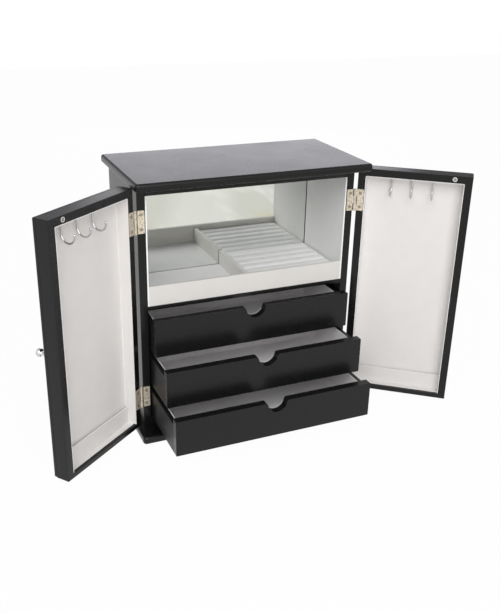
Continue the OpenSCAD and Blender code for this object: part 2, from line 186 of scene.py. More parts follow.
def add_noise(tree, place, scale, detail=3.0, rough=0.55, stretch=(1, 1, 1)):
    """A noise over a place, stretched along X, Y or Z."""
    stretched = add_node(tree, "Mapping", (place, None, None, stretch))
    grain = add_node(tree, "TexNoise", (stretched.outputs[0],))
    for label, value in (("Scale", scale), ("Detail", detail), ("Roughness", rough)):
        feed(tree, value, grain.inputs[label])
    return grain.outputs["Fac"]


def sums(tree, how, first, second, third=None, clamp=False):
    """A math node over two or three values."""
    return add_node(tree, "Math", (first, second, third), operation=how, use_clamp=clamp).outputs[0]


def spread(tree, value, low, high, to_low, to_high):
    """A value from low..high to to_low..to_high, held at its ends."""
    return add_node(tree, "MapRange", (value, low, high, to_low, to_high), clamp=True).outputs[0]


def mix_colour(tree, share, first, second):
    """One colour turning into another."""
    node = add_node(tree, "Mix", (share,), data_type="RGBA")
    for socket, value in zip([s for s in node.inputs if s.type == "RGBA"], (first, second)):
        feed(tree, value, socket)
    return next(s for s in node.outputs if s.type == "RGBA")


def node_group(name, inputs, relief):
    """An empty shader group that gives a colour, a roughness and a relief, with its two ends."""
    group = bpy.data.node_groups.new(name, "ShaderNodeTree")
    for label, value in inputs.items():
        kind = "NodeSocketColor" if isinstance(value, tuple) else "NodeSocketFloat"
        group.interface.new_socket(label, in_out="INPUT", socket_type=kind).default_value = value
    for label, kind in (("Colour", "Color"), ("Roughness", "Float"), (relief, "Float")):
        group.interface.new_socket(label, in_out="OUTPUT", socket_type="NodeSocket" + kind)
    given, out = group.nodes.new("NodeGroupInput"), group.nodes.new("NodeGroupOutput")
    return group, given.outputs, out.inputs


def make_paint_coat():
    """Sprayed paint: a fine orange peel, hazy patches, dust specks and thin paint on eased edges."""
    group, given, out = node_group("sprayed_paint", {
        "Paint": (0.01, 0.01, 0.011, 1), "Thin Paint": (0.05, 0.05, 0.05, 1),
        "Gloss Roughness": 0.3, "Haze": 0.08, "Wear": 0.5,
    }, "Peel")
    place = on_piece(group)
    peel = add_noise(group, place, 900, 2)
    pores = add_noise(group, place, 2600)
    haze = add_noise(group, place, 24, 4)
    rub = add_noise(group, place, 160, 5, 0.7)
    worn = sums(group, "MULTIPLY", marked(group, "eased"), spread(group, rub, 0.42, 0.66, 0, 1))
    worn = sums(group, "MULTIPLY", worn, given["Wear"], clamp=True)
    fleck = spread(group, pores, 0.66, 0.74, 0, 0.35)
    share = sums(group, "MAXIMUM", worn, fleck)
    feed(group, mix_colour(group, share, given["Paint"], given["Thin Paint"]), out["Colour"])
    hazy = sums(group, "SUBTRACT", haze, 0.5)
    shine = sums(group, "MULTIPLY_ADD", hazy, given["Haze"], given["Gloss Roughness"])
    feed(group, sums(group, "MULTIPLY_ADD", fleck, 0.1, shine), out["Roughness"])
    feed(group, sums(group, "MULTIPLY_ADD", pores, 0.25, peel), out["Peel"])
    return group


def new_finish(name):
    """A new material, its nodes and its shader."""
    finish = bpy.data.materials.new(name)
    finish.use_nodes = True
    return finish, finish.node_tree, finish.node_tree.nodes["Principled BSDF"]


def made_of(name, group, values, strength, depth_mm, settings):
    """A material of one shader group with its values, and with its relief as a fine bump."""
    finish, tree, shader = new_finish(name)
    skin = add_node(tree, "Group", node_tree=group)
    for socket, value in zip(skin.inputs, values):
        socket.default_value = (*value, 1) if isinstance(value, tuple) else value
    colour, roughness, relief = skin.outputs
    feed(tree, colour, shader.inputs["Base Color"])
    feed(tree, roughness, shader.inputs["Roughness"])
    bump = add_node(tree, "Bump")
    bump.inputs["Strength"].default_value = strength
    bump.inputs["Distance"].default_value = depth_mm * mm
    feed(tree, relief, bump.inputs["Height"])
    feed(tree, bump.outputs["Normal"], shader.inputs["Normal"])
    for label, value in settings:
        shader.inputs[label].default_value = value
    return finish


paint_coat = make_paint_coat()


def painted(name, paint, thin, shine, haze, wear, peel_mm, ior):
    """A sprayed finish as one material."""
    values = (paint, thin, shine, haze, wear)
    return made_of(name, paint_coat, values, 0.35, peel_mm, [("IOR", ior)])


black_paint = painted(
    "black_paint", (0.006, 0.006, 0.0062), (0.02, 0.02, 0.02), 0.27, 0.1, 0.1, 0.02, 1.36
)


def fitted(piece, finish, slot, body, *nodes):
    """Gives a finished piece its material and says what it moves with and stands for."""
    piece.data.materials.clear()
    piece.data.materials.append(finish)
    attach(piece, body)
    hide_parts(*nodes)


def sprayed(piece, node, body="cabinet", paint=black_paint, slot="black_paint", weighted=True):
    """Finishes a board that is already in its place."""
    mark_eased(piece)
    smooth(piece, weighted=weighted)
    fitted(piece, paint, slot, body, node)


def moulded_board(name, bottom, top):
    """A board with round corners and rounded-over edges."""
    piece = blank(name, (-board_wide / 2, board_front, bottom), (board_wide / 2, board_back, top))
    round_edges(piece, 4 * mm, 6, lambda e: runs_along(e, 2))
    round_edges(piece, 2.9 * mm, 5, lambda e: lies_at(e, 2, bottom) or lies_at(e, 2, top))
    sprayed(piece, name)


moulded_board("base_board", 0, base_top)
moulded_board("top_slab", slab_under, slab_top)

# ---- Cabinet boards ----
# The carcass is 9 mm fibreboard: two side panels, a head board under the slab, a floor board, a shelf
# under the top compartment and two thin boards that carry the upper drawers. They are butt-jointed and
# glued, their edges are eased with sandpaper, and all of it is sprayed satin black.

half_wide = 127.5 * mm
inside_x = 118.5 * mm
front = -55 * mm
back = 55 * mm
inside_back = 51 * mm
shelf_top = 157 * mm
head_under = 280 * mm
thin_board = 3 * mm


def eased_board(name, low, high, ease=0.5 * mm):
    """A planed board with its edges eased."""
    piece = blank(name, low, high)
    round_edges(piece, ease, 2)
    sprayed(piece, name)


eased_board("left_side_panel", (-half_wide, front, base_top), (-inside_x, back, slab_under))
eased_board("right_side_panel", (inside_x, front, base_top), (half_wide, back, slab_under))
eased_board("back_panel", (-inside_x, inside_back, base_top), (inside_x, back, slab_under), 0.3 * mm)
eased_board("floor_board", (-inside_x, front, base_top), (inside_x, inside_back, 17.9 * mm))
eased_board("shelf", (-inside_x, front, shelf_top - 5 * mm), (inside_x, inside_back, shelf_top))
for name, low in (("low_divider_board", 58.4 * mm), ("high_divider_board", 101.9 * mm)):
    ends = (-inside_x, -45 * mm, low), (inside_x, inside_back, low + thin_board)
    eased_board(name, *ends, 0.3 * mm)


def cut_away(piece, *cutters):
    """Cuts the shapes of the cutters out of a piece and throws the cutters away."""
    for cutter in cutters:
        apply_modifier(piece, "BOOLEAN", operation="DIFFERENCE", solver="EXACT", object=cutter)
        bpy.data.objects.remove(cutter)


def rod(name, radius, start, end, sides=32):
    """A round rod between two points that lie along one axis."""
    start, end = Vector(start), Vector(end)
    bpy.ops.mesh.primitive_cylinder_add(
        vertices=sides, radius=radius, depth=(end - start).length, location=(start + end) / 2,
        rotation=Vector((0, 0, 1)).rotation_difference(end - start).to_euler(),
    )
    return set_down(name)


magnet_x = 21 * mm
magnet_z = 285.75 * mm
magnet_deep = 6 * mm
head = blank("head_board", (-inside_x, front, head_under), (inside_x, inside_back, slab_under))
round_edges(head, 0.5 * mm, 2)
for x in (-magnet_x, magnet_x):
    ends = (x, front - 1 * mm, magnet_z), (x, front + magnet_deep + 0.1 * mm, magnet_z)
    cut_away(head, rod("hole", 3.1 * mm, *ends, 40))
sprayed(head, "head_board", weighted=False)

# ---- Catch magnets ----
# Two black ferrite discs, pressed and sintered, glued into bored holes in the head board's front edge.
# They pull the steel washers on the doors' top rails, and their rims are broken by a small bevel.


def make_cast_skin():
    """A dull grainy skin with paler rubbed spots, for pressed or cast stock."""
    group, given, out = node_group("pressed_skin", {
        "Skin": (0.03, 0.03, 0.03, 1), "Rubbed": (0.12, 0.12, 0.12, 1), "Grain Size": 2500,
    }, "Grain")
    place = on_piece(group)
    grain = add_noise(group, place, given["Grain Size"], 4, 0.6)
    rub = add_noise(group, place, 400)
    share = spread(group, rub, 0.5, 0.7, 0, 0.7)
    feed(group, mix_colour(group, share, given["Skin"], given["Rubbed"]), out["Colour"])
    feed(group, spread(group, grain, 0.3, 0.7, 0.45, 0.75), out["Roughness"])
    feed(group, grain, out["Grain"])
    return group


cast_skin = make_cast_skin()


def grained(name, skin, rubbed, grain_size, depth_mm, settings=()):
    """A material with the grainy skin."""
    return made_of(name, cast_skin, (skin, rubbed, grain_size), 0.5, depth_mm, settings)


def join(name, pieces):
    """Several shapes as one piece."""
    take_up(pieces[0])
    for piece in pieces:
        piece.select_set(True)
    if len(pieces) > 1:
        bpy.ops.object.join()
    pieces[0].name = pieces[0].data.name = name
    return pieces[0]


def round_rims(piece, radius, steps, sharp=50):
    """Rounds every edge of a piece that is sharper than that many degrees."""
    open_up(piece)
    bpy.ops.mesh.select_mode(type="EDGE")
    bpy.ops.mesh.select_all(action="DESELECT")
    bpy.ops.mesh.edges_select_sharp(sharpness=math.radians(sharp))
    round_over(radius, steps)


ferrite = grained("magnet_ferrite", (0.022, 0.022, 0.023), (0.06, 0.06, 0.06), 3000, 0.03)
discs = []
for x in (-magnet_x, magnet_x):
    ends = (x, front + 0.15 * mm, magnet_z), (x, front + magnet_deep, magnet_z)
    disc = rod("disc", 3 * mm, *ends, 40)
    round_rims(disc, 0.25 * mm, 2)
    discs.append(disc)
magnets = join("catch_magnets", discs)
smooth(magnets)
fitted(magnets, ferrite, "magnet_ferrite", "cabinet", "catch_magnets")

# ---- Mirror and the board behind it ----
# A 3 mm silvered float glass, a little narrower than the compartment and with ground edges, stands on
# the shelf behind the linings. It is glued to a raw fibreboard panel that fills the space behind it.

mirror_x = 116.55 * mm
mirror_y = 39 * mm
mirror_back = 42 * mm

backing = blank(
    "mirror_backing", (-inside_x, mirror_back, shelf_top), (inside_x, inside_back, head_under)
)
round_edges(backing, 0.2 * mm, 2)
smooth(backing)
fibreboard = grained("backing_board", (0.06, 0.045, 0.03), (0.12, 0.095, 0.07), 1200, 0.06)
fitted(backing, fibreboard, "backing_board", "cabinet", "mirror_backing")

glass = blank(
    "mirror", (-mirror_x, mirror_y, shelf_top + 0.4 * mm), (mirror_x, mirror_back, head_under)
)
round_edges(glass, 0.35 * mm, 2)
smooth(glass)
silvering, tree, shader = new_finish("mirror_glass")
film = add_noise(tree, on_piece(tree), 30, 5, 0.6, (1, 1, 0.4))  # a faint film of dust
dusty = spread(tree, film, 0.45, 0.75, 0, 1)
colour = mix_colour(tree, dusty, (0.875, 0.885, 0.87, 1), (0.84, 0.85, 0.835, 1))
feed(tree, colour, shader.inputs["Base Color"])
feed(tree, spread(tree, film, 0.4, 0.8, 0.012, 0.045), shader.inputs["Roughness"])
shader.inputs["Metallic"].default_value = 1
fitted(glass, silvering, "mirror_glass", "cabinet", "mirror")

# ---- Linings of the compartment's side walls ----
# Each wall is lined with a card wrapped in brushed off-white cloth and glued to the side panel, from
# the front edge to just short of the mirror. The cloth is stretched over the card, so its faces stay
# nearly flat and its edges are softly rounded.


def make_cloth_nap():
    """Brushed cloth: short fibres, soft shading in the nap, faint threads under it and a paler rim as a
    painted highlight.
    """
    group, given, out = node_group("cloth_nap", {
        "Cloth": (0.7, 0.68, 0.66, 1), "Shade": (0.6, 0.58, 0.56, 1), "Painted Highlight": (0.85, 0.84, 0.83, 1),
        "Fibre Size": 2600, "Nap Size": 60,
    }, "Pile")
    place = on_piece(group)
    fibre = add_noise(group, place, given["Fibre Size"], 3, 0.6, (1, 1, 0.45))
    cross = add_noise(group, place, given["Fibre Size"], 2, 0.6, (0.5, 0.5, 1.6))
    nap = add_noise(group, place, given["Nap Size"], 4)
    broad = add_noise(group, place, 14, 2)
    pile = sums(group, "ADD", fibre, cross)
    shaded = spread(group, nap, 0.35, 0.7, 0, 0.5)
    tone = sums(group, "ADD", spread(group, pile, 0.7, 1.3, 0.35, -0.15), shaded)
    tone = sums(group, "ADD", tone, spread(group, broad, 0.35, 0.65, 0, 0.3))
    share = sums(group, "MULTIPLY", tone, 0.5, clamp=True)
    colour = mix_colour(group, share, given["Cloth"], given["Shade"])
    # Marked rims take the paler colour, a painted highlight on the cloth's edges.
    feed(group, mix_colour(group, marked(group, "rim"), colour, given["Painted Highlight"]), out["Colour"])
    feed(group, spread(group, pile, 0.7, 1.3, 0.98, 0.82), out["Roughness"])
    feed(group, pile, out["Pile"])
    return group


cloth_nap = make_cloth_nap()


# The rim colour is a painted highlight on the marked edges.
def clothed(name, cloth, shade, rim, fibre, nap, pile_mm, sheen):
    """A brushed cloth as one material."""
    return made_of(name, cloth_nap, (cloth, shade, rim, fibre, nap), 0.5, pile_mm, [
        ("Specular IOR Level", 0.2), ("Sheen Weight", sheen), ("Sheen Roughness", 0.4),
    ])


def soft_card(name, low, high, edge, cuts, ripple, seed):
    """A card wrapped in cloth: round edges and faces that are a little uneven."""
    piece = blank(name, low, high)
    open_up(piece)
    bpy.ops.mesh.subdivide(number_cuts=cuts)
    close_up()
    round_rims(piece, edge, 3)
    low, high = Vector(low), Vector(high)
    for point in piece.data.vertices:
        inside = [min(point.co[i] - low[i], high[i] - point.co[i]) for i in range(3)]
        flat = min(range(3), key=lambda i: inside[i])
        away = min(d for i, d in enumerate(inside) if i != flat)
        hold = min(1, max(0, away - edge) / (6 * mm))
        swell = noise.noise(point.co * 22 + Vector((seed, 2 * seed, 0))) - 0.35
        side = 1 if point.co[flat] > (low[flat] + high[flat]) / 2 else -1
        point.co[flat] += side * ripple * hold * swell
    smooth(piece, 60, weighted=False)
    return piece


wall_cloth = clothed(
    "wall_lining", (0.86, 0.862, 0.845), (0.8, 0.802, 0.785), (0.96, 0.96, 0.95), 2400, 70, 0.1, 0.2
)
lined_x = 117 * mm
for side, name in ((-1, "left_wall_lining"), (1, "right_wall_lining")):
    near, far = sorted((side * lined_x, side * inside_x))
    low, high = (near, front + 0.1 * mm, shelf_top), (far, mirror_y - 0.9 * mm, head_under)
    card = soft_card(name, low, high, 0.5 * mm, 28, 0.3 * mm, 5 + side)
    # Its front edge is marked to be painted paler as a highlight.
    mark(card, "rim", lambda face: face.center.y < front + 0.7 * mm)
    fitted(card, wall_cloth, "cream_lining", "cabinet", name)
    panel = name.replace("wall_lining", "side_panel")

# ---- Tray: floor, front wall and divider ----
# The floor is a sheet of silver-grey velvet. The front wall is a board wrapped in a greyer cloth than
# the walls', and the divider a thinner board wrapped in warm grey velvet, with a dark fibreboard strip
# standing at its end by the mirror. Both have thin wadding under the cloth, and all are glued in place.

velvet = clothed(
    "tray_velvet", (0.86, 0.863, 0.86), (0.8, 0.803, 0.8), (0.9, 0.9, 0.9), 3000, 110, 0.12, 0.4
)
front_cloth = clothed(
    "front_lining", (0.72, 0.7, 0.675), (0.66, 0.64, 0.615), (0.85, 0.84, 0.82), 2400, 70, 0.1, 0.2
)
divider_cloth = clothed(
    "divider_velvet", (0.78, 0.765, 0.735), (0.7, 0.685, 0.655), (0.86, 0.85, 0.83), 3000, 110, 0.12,
    0.4,
)
tray_front = -51 * mm
tray_back = mirror_y - 1.1 * mm
tray_floor = 158 * mm

floor_cloth = soft_card(
    "tray_floor_lining", (-lined_x, tray_front, shelf_top), (lined_x, tray_back, tray_floor),
    0.3 * mm, 30, 0.25 * mm, 11,
)
fitted(floor_cloth, velvet, "tray_velvet", "cabinet", "tray_floor_lining")

front_wall = soft_card(
    "tray_front_wall", (-lined_x, front, shelf_top), (lined_x, tray_front, 179.5 * mm),
    1.1 * mm, 24, 0.35 * mm, 3,
)
fitted(front_wall, front_cloth, "cream_lining", "cabinet", "tray_front_wall")

divider = soft_card(
    "tray_divider", (0, tray_front, tray_floor), (5 * mm, tray_back, 176 * mm),
    0.9 * mm, 20, 0.3 * mm, 8,
)
fitted(divider, divider_cloth, "tray_velvet", "cabinet", "tray_divider")

# A dark fibreboard strip stands at the divider's end, in the narrow gap by the mirror.
dark_end_strip = blank(
    "tray_divider_end", (0.5 * mm, tray_back - 0.5 * mm, tray_floor + 0.4 * mm),
    (4.5 * mm, tray_back + 0.4 * mm, 175.5 * mm),
)
round_rims(dark_end_strip, 0.15 * mm, 1)
smooth(dark_end_strip)
fitted(dark_end_strip, fibreboard, "tray_velvet", "cabinet", "tray_divider")

# ---- Ring rolls ----
# Six foam rolls lie side by side across the right half of the tray, and rings are pushed into the slots
# between them. Each roll is a strip of foam with a rounded top, wrapped in the tray's velvet, whose
# edges are tucked under the roll and glued to the floor.

roll_count = 6
roll_pitch = 90 / roll_count * mm
roll_wide = roll_pitch - 0.2 * mm
roll_left = 5.4 * mm
roll_right = 116.6 * mm
roll_top = 173 * mm
swell_frames = 20
most_swell = 0.45 * mm


def middle(item):
    """The middle of a face or an edge."""
    return sum((v.co for v in item.verts), Vector()) / len(item.verts)


def swell_up(piece):
    """Blows a piece up a little, like cloth over foam."""
    before = [point.co.copy() for point in piece.data.vertices]
    take_up(piece)
    bpy.ops.object.modifier_add(type="CLOTH")
    cloth = piece.modifiers[-1]
    cloth.settings.mass = 0.02
    cloth.settings.use_pressure = True
    cloth.settings.uniform_pressure_force = 4
    cloth.settings.effector_weights.gravity = 0
    cloth.point_cache.frame_start = 1
    cloth.point_cache.frame_end = swell_frames
    for step in range(1, swell_frames + 1):
        bpy.context.scene.frame_set(step)
    bpy.ops.object.modifier_apply(modifier=cloth.name)
    bpy.context.scene.frame_set(1)
    for point, start in zip(piece.data.vertices, before):
        move = point.co - start
        if move.length > most_swell:
            point.co = start + move.normalized() * most_swell


def foam_roll(name):
    """One roll, swollen a little by its foam, at the frontmost place."""
    trim = 0.5 * mm
    y = tray_front + roll_pitch / 2
    piece = blank(
        name,
        (roll_left + trim, y - roll_wide / 2 + trim, tray_floor + 0.05 * mm),
        (roll_right - trim, y + roll_wide / 2 - trim, roll_top - trim),
    )
    round_edges(piece, 1.8 * mm, 4, lambda e: runs_along(e, 0) and middle(e).z > roll_top - 1 * mm)
    round_rims(piece, 0.9 * mm, 2)
    apply_modifier(piece, "REMESH", mode="VOXEL", voxel_size=1.4 * mm)
    swell_up(piece)
    for point in piece.data.vertices:
        point.co.z = max(point.co.z, tray_floor)
    apply_modifier(piece, "SUBSURF", levels=1, render_levels=1)
    smooth(piece, 70, weighted=False)
    return piece


def twin_of(piece, name):
    """A copy of a piece with its own mesh."""
    take_up(piece)
    bpy.ops.object.duplicate(linked=False)
    twin = bpy.context.object
    twin.name = twin.data.name = name
    return twin


first_roll = foam_roll("ring_roll_1")
rolls = [first_roll]
for number in range(1, roll_count):
    roll = twin_of(first_roll, f"ring_roll_{number + 1}")
    bpy.ops.transform.translate(value=(0, number * roll_pitch, 0))
    rolls.append(set_down())
for roll in rolls:
    fitted(roll, velvet, "tray_velvet", "cabinet", "ring_rolls")

# ---- Hinges ----
# Four small butt hinges, stamped from brass sheet and plated pale. The knuckles are rolled round a pin
# with domed heads: the cabinet's leaf has the upper and lower knuckle, the door's leaf the middle one.
# Each leaf is held flat on the wood by two countersunk screws with cross slots.

pin_x = 129.5 * mm
pin_y = -55.6 * mm
hinge_zs = (47.5 * mm, 253 * mm)
leaf_high = 25 * mm
leaf_wide = 10 * mm
leaf_thick = 0.5 * mm
knuckle = leaf_high / 3
knuckle_gap = 0.12 * mm
screw_off = 8 * mm


def settle(piece):
    """Fixes a piece in its place, with its faces pointing outwards."""
    take_up(piece)
    set_down()
    open_up(piece)
    bpy.ops.mesh.normals_make_consistent(inside=False)
    close_up()


def make_plating():
    """Plated metal: cloudy stains, a fine rolled grain, small pits, and near-black painted shade where
    it is marked.
    """
    group, given, out = node_group("plating", {
        "Plate": (0.7, 0.66, 0.56, 1), "Stain": (0.4, 0.36, 0.28, 1),
        "Cloud Size": 500, "Stained": 0.5, "Shine": 0.25,
    }, "Pits")
    place = on_piece(group)
    cloud = add_noise(group, place, given["Cloud Size"], 4, 0.65)
    grain = add_noise(group, place, 2200, 2, 0.5, (1, 1, 0.12))
    pits = add_noise(group, place, 1500)
    cloudy = spread(group, cloud, 0.46, 0.62, 0, 1)
    share = sums(group, "MULTIPLY", cloudy, given["Stained"], clamp=True)
    plate = mix_colour(group, share, given["Plate"], given["Stain"])
    # Marked faces turn near black: painted shade in the gaps beside the knuckles and round the screw
    # heads.
    with_painted_shade = mix_colour(group, marked(group, "painted_shade"), plate, (0.035, 0.03, 0.026, 1))
    feed(group, with_painted_shade, out["Colour"])
    shine = sums(group, "MULTIPLY_ADD", grain, 0.12, given["Shine"])
    feed(group, sums(group, "MULTIPLY_ADD", share, 0.25, shine), out["Roughness"])
    feed(group, sums(group, "ADD", spread(group, pits, 0.25, 0.4, 0, 1), grain), out["Pits"])
    return group


plating = make_plating()


def plated(name, plate, stain, cloud, stained, shine, pit_mm, metallic=1):
    """A plated metal as one material."""
    values = (plate, stain, cloud, stained, shine)
    return made_of(name, plating, values, 0.3, pit_mm, [("Metallic", metallic)])


def hinge_leaf(z, behind, knuckles):
    """One leaf with its rolled knuckles, by a pin that stands at x = 0, y = 0."""
    near = 0.1 * mm if behind else -0.1 * mm - leaf_thick
    far = near + leaf_thick
    plate = blank(
        "leaf", (2.4 * mm, near, z - leaf_high / 2), (leaf_wide, far, z + leaf_high / 2)
    )
    round_edges(plate, 1.2 * mm, 4, lambda e: runs_along(e, 1) and middle(e).x > leaf_wide / 2)
    round_rims(plate, 0.12 * mm, 2)
    shapes = [plate]
    for k in knuckles:
        low = z + (k - 0.5) * knuckle + knuckle_gap
        high = z + (k + 0.5) * knuckle - knuckle_gap
        barrel = rod("barrel", 1.7 * mm, (0, 0, low), (0, 0, high))
        round_rims(barrel, 0.2 * mm, 2)
        strap = blank("strap", (0.4 * mm, near, low), (2.6 * mm, far, high))
        round_rims(strap, 0.08 * mm, 1)
        # The strap is marked for painted shade, the dark line in the gap beside the barrel.
        mark(strap, "painted_shade", lambda face: True)
        shapes += [barrel, strap]
    return join("leaf", shapes)


hinge_plate = plated(
    "hinge_brass", (0.74, 0.66, 0.54), (0.3, 0.24, 0.17), 620, 0.7, 0.34, 0.04, 0.55
)
leaves = []
for side in (-1, 1):
    for z in hinge_zs:
        leaf = hinge_leaf(z, True, (-1, 1))
        to_pin = Matrix.Translation((side * pin_x, pin_y, 0))
        leaf.matrix_world = to_pin @ Matrix.Diagonal((-side, 1, 1, 1))
        settle(leaf)
        leaves.append(leaf)
cabinet_leaves = join("cabinet_hinge_leaves", leaves)
smooth(cabinet_leaves)
fitted(cabinet_leaves, hinge_plate, "hinge_brass", "cabinet", "cabinet_hinge_leaves")

pins = []
for x in (-pin_x, pin_x):
    for z in hinge_zs:
        low, high = (x, pin_y, z - leaf_high / 2), (x, pin_y, z + leaf_high / 2)
        pins.append(rod("shaft", 0.8 * mm, low, high, 20))
        for foot, out in ((low, -0.6 * mm), (high, 0.6 * mm)):
            dome = rod("dome", 1.3 * mm, foot, (x, pin_y, foot[2] + out), 24)
            round_rims(dome, 0.25 * mm, 3)
            pins.append(dome)
hinge_pins = join("hinge_pins", pins)
smooth(hinge_pins)
fitted(hinge_pins, hinge_plate, "hinge_brass", "cabinet", "hinge_pins")


def cross_screw():
    """A screw along +Y whose low dome stands at y = 0, with a cross slot and a sunk rim darkened by
    painted shade.
    """
    dome = rod("screw", 1.2 * mm, (0, -0.08 * mm, 0), (0, 0.5 * mm, 0))
    round_rims(dome, 0.14 * mm, 3)
    # A near-black ring round the dome: painted shade of the countersink.
    sink = rod("sink", 1.6 * mm, (0, -0.03 * mm, 0), (0, 0.5 * mm, 0))
    mark(sink, "painted_shade", lambda face: True)
    for w, h in ((0.85 * mm, 0.18 * mm), (0.18 * mm, 0.85 * mm)):
        cut_away(dome, blank("slot", (-w, -0.3 * mm, -h), (w, 0.2 * mm, h)))
    shank = rod("shank", 0.7 * mm, (0, 0.45 * mm, 0), (0, 7.5 * mm, 0), 12)
    return join("screw", [dome, sink, shank])


def driven_screws(spots, name, turned_round=False):
    """Copies of the screw at those spots, each turned a little differently, as one piece."""
    copies = []
    for number, spot in enumerate(spots):
        screw = twin_of(pattern_screw, "driven")
        screw.matrix_world = (
            Matrix.Translation(spot)
            @ Matrix.Rotation(math.pi if turned_round else 0, 4, "Z")
            @ Matrix.Rotation(math.radians(17 + 53 * number), 4, "Y")
        )
        settle(screw)
        copies.append(screw)
    return join(name, copies)


pattern_screw = cross_screw()
screw_metal = plated("screw_brass", (0.6, 0.55, 0.46), (0.2, 0.17, 0.12), 700, 0.6, 0.26, 0.02)
cabinet_screws = driven_screws(
    [
        (side * (half_wide - 4 * mm), front - 0.5 * mm, z + end * screw_off)
        for side in (-1, 1) for z in hinge_zs for end in (-1, 1)
    ],
    "cabinet_hinge_screws",
)
smooth(cabinet_screws)
fitted(cabinet_screws, screw_metal, "screw_brass", "cabinet", "cabinet_hinge_screws")

# ---- Door frames and panels ----
# Each door is a shallow frame of fibreboard, rebated on the back and closed on its outer face by a thin
# glued panel with softened edges. The frame is one ring with no visible joints, because its mitres are
# filled before the door is sprayed satin black inside and out.

door_wide = 126 * mm
door_high = 278.3 * mm
door_low = 11.7 * mm
stile = 8.5 * mm
bottom_rail = 5.5 * mm
panel_back = -15 * mm
door_face = -19 * mm
door_corner = Vector((2 * mm, -0.6 * mm, 0))  # from the pin, with the door shut
door_turn = math.radians(142)


def hung(piece, side, node, finish, slot, angle=40, weighted=True):
    """Moves a piece from the shut left door's own frame to its open door, and finishes it there."""
    piece.matrix_world = (
        Matrix.Diagonal((-1 if side == "right" else 1, 1, 1, 1))
        @ Matrix.Translation((-pin_x, pin_y, door_low))
        @ Matrix.Rotation(-door_turn, 4, "Z") @ Matrix.Translation(door_corner)
    )
    settle(piece)
    smooth(piece, angle, weighted)
    fitted(piece, finish, slot, f"{side}_door", node)


for side in ("left", "right"):
    name = f"{side}_door_frame"
    ring = blank(name, (0, panel_back, 0), (door_wide, 0, door_high))
    low = (stile, panel_back - 2 * mm, bottom_rail)
    high = (door_wide - stile, 2 * mm, door_high - stile)
    cut_away(ring, blank("opening", low, high))
    round_rims(ring, 0.45 * mm, 2)
    mark_eased(ring)
    hung(ring, side, name, black_paint, "black_paint")

    name = f"{side}_door_panel"
    panel = blank(name, (0, door_face, 0), (door_wide, panel_back, door_high))
    round_edges(panel, 1.4 * mm, 4, lambda e: lies_at(e, 1, door_face) or runs_along(e, 1))
    round_rims(panel, 0.12 * mm, 1)
    mark_eased(panel)
    hung(panel, side, name, black_paint, "black_paint")

# ---- Door linings and pockets ----
# The shallow recess inside each door is lined with one sheet of brushed off-white cloth, pressed over
# the panel and up the inner edges of the frame, and glued. Across its foot stands a pocket wall, a
# strip of card wrapped in the same cloth, that catches the ends of the necklaces.

rim_cloth = 0.6 * mm
bare_strip = 3.55 * mm
cream_cloth = clothed(
    "cream_lining", (0.78, 0.757, 0.74), (0.71, 0.687, 0.67), (0.95, 0.94, 0.93), 2400, 70, 0.1, 0.2
)


def pressed_sheet(name, low, high, open_axis, fold, cuts, ripple, thick, seed):
    """A sheet pressed into a recess with that inner space, open on its high side along one axis."""
    piece = blank(name, low, high)
    open_up(piece)
    pick("faces", lambda f: f.normal[open_axis] > 0.9)
    bpy.ops.mesh.delete(type="FACE")
    bpy.ops.mesh.select_all(action="SELECT")
    bpy.ops.mesh.subdivide(number_cuts=cuts)
    close_up()
    round_rims(piece, fold, 3, 60)
    low, high = Vector(low), Vector(high)
    across = [i for i in range(3) if i != open_axis]
    for point in piece.data.vertices:
        if point.co[open_axis] > low[open_axis] + fold:
            continue
        away = min(min(point.co[i] - low[i], high[i] - point.co[i]) for i in across)
        hold = min(1, max(0, away - fold) / (12 * mm))
        swell = noise.noise(point.co * 16 + Vector((seed, 0, seed)))
        swell += 0.4 * noise.noise(point.co * 45 + Vector((0, seed, 0)))
        point.co[open_axis] += ripple * hold * (0.5 + swell)
    apply_modifier(piece, "SOLIDIFY", thickness=thick, offset=1)
    return piece


def mark_rim(piece, axis, *rims):
    """Marks the cut edges of a sheet at those places along an axis, to be painted paler as a highlight.
    """
    mark(piece, "rim", lambda face: face.normal[axis] > 0.5
         and min(abs(face.center[axis] - rim) for rim in rims) < 0.05 * mm)


for side in ("left", "right"):
    name = f"{side}_door_lining"
    rim = 0.05 * mm
    sheet = pressed_sheet(
        name, (stile + rim_cloth, panel_back + 1 * mm, bottom_rail + rim_cloth),
        (door_wide - stile - rim_cloth, rim, door_high - stile - rim_cloth),
        1, 1.2 * mm, 26, 0.5 * mm, 0.55 * mm, 4 if side == "left" else 9,
    )
    low = (stile, rim - bare_strip, bottom_rail - 1 * mm)
    high = (door_wide - stile, 2 * mm, bottom_rail + 0.75 * mm)
    cut_away(sheet, blank("strip", low, high))
    # Its front and cut edges are marked to be painted paler as a highlight.
    mark_rim(sheet, 1, rim, rim - bare_strip)
    hung(sheet, side, name, cream_cloth, "cream_lining", 60, False)
    panel = f"{side}_door_panel"

    name = f"{side}_door_pocket"
    foot = bottom_rail + rim_cloth
    card = soft_card(
        name, (stile + rim_cloth, panel_back + 3.2 * mm, foot),
        (door_wide - stile - rim_cloth, panel_back + 4.6 * mm, foot + 20 * mm),
        0.55 * mm, 26, 0.5 * mm, 13 if side == "left" else 21,
    )
    hung(card, side, name, cream_cloth, "cream_lining", 60, False)

# ---- Necklace hooks ----
# Three hooks hang in each door. Each is a bent wire with a ball formed on its tip, screwed up into the
# top rail with a small collar where it goes in, and bright chrome plated.

wire = 1 * mm
bend = 8 * mm
tip = 1.2 * mm
hook_back = -10 * mm
rail_under = door_high - stile - rim_cloth
hook_z = rail_under - 13 * mm
hook_top = rail_under + 5 * mm


def draw_out(x, y, z):
    """Draws the selected face out by that much."""
    bpy.ops.mesh.extrude_region_move(TRANSFORM_OT_translate={"value": (x, y, z)})


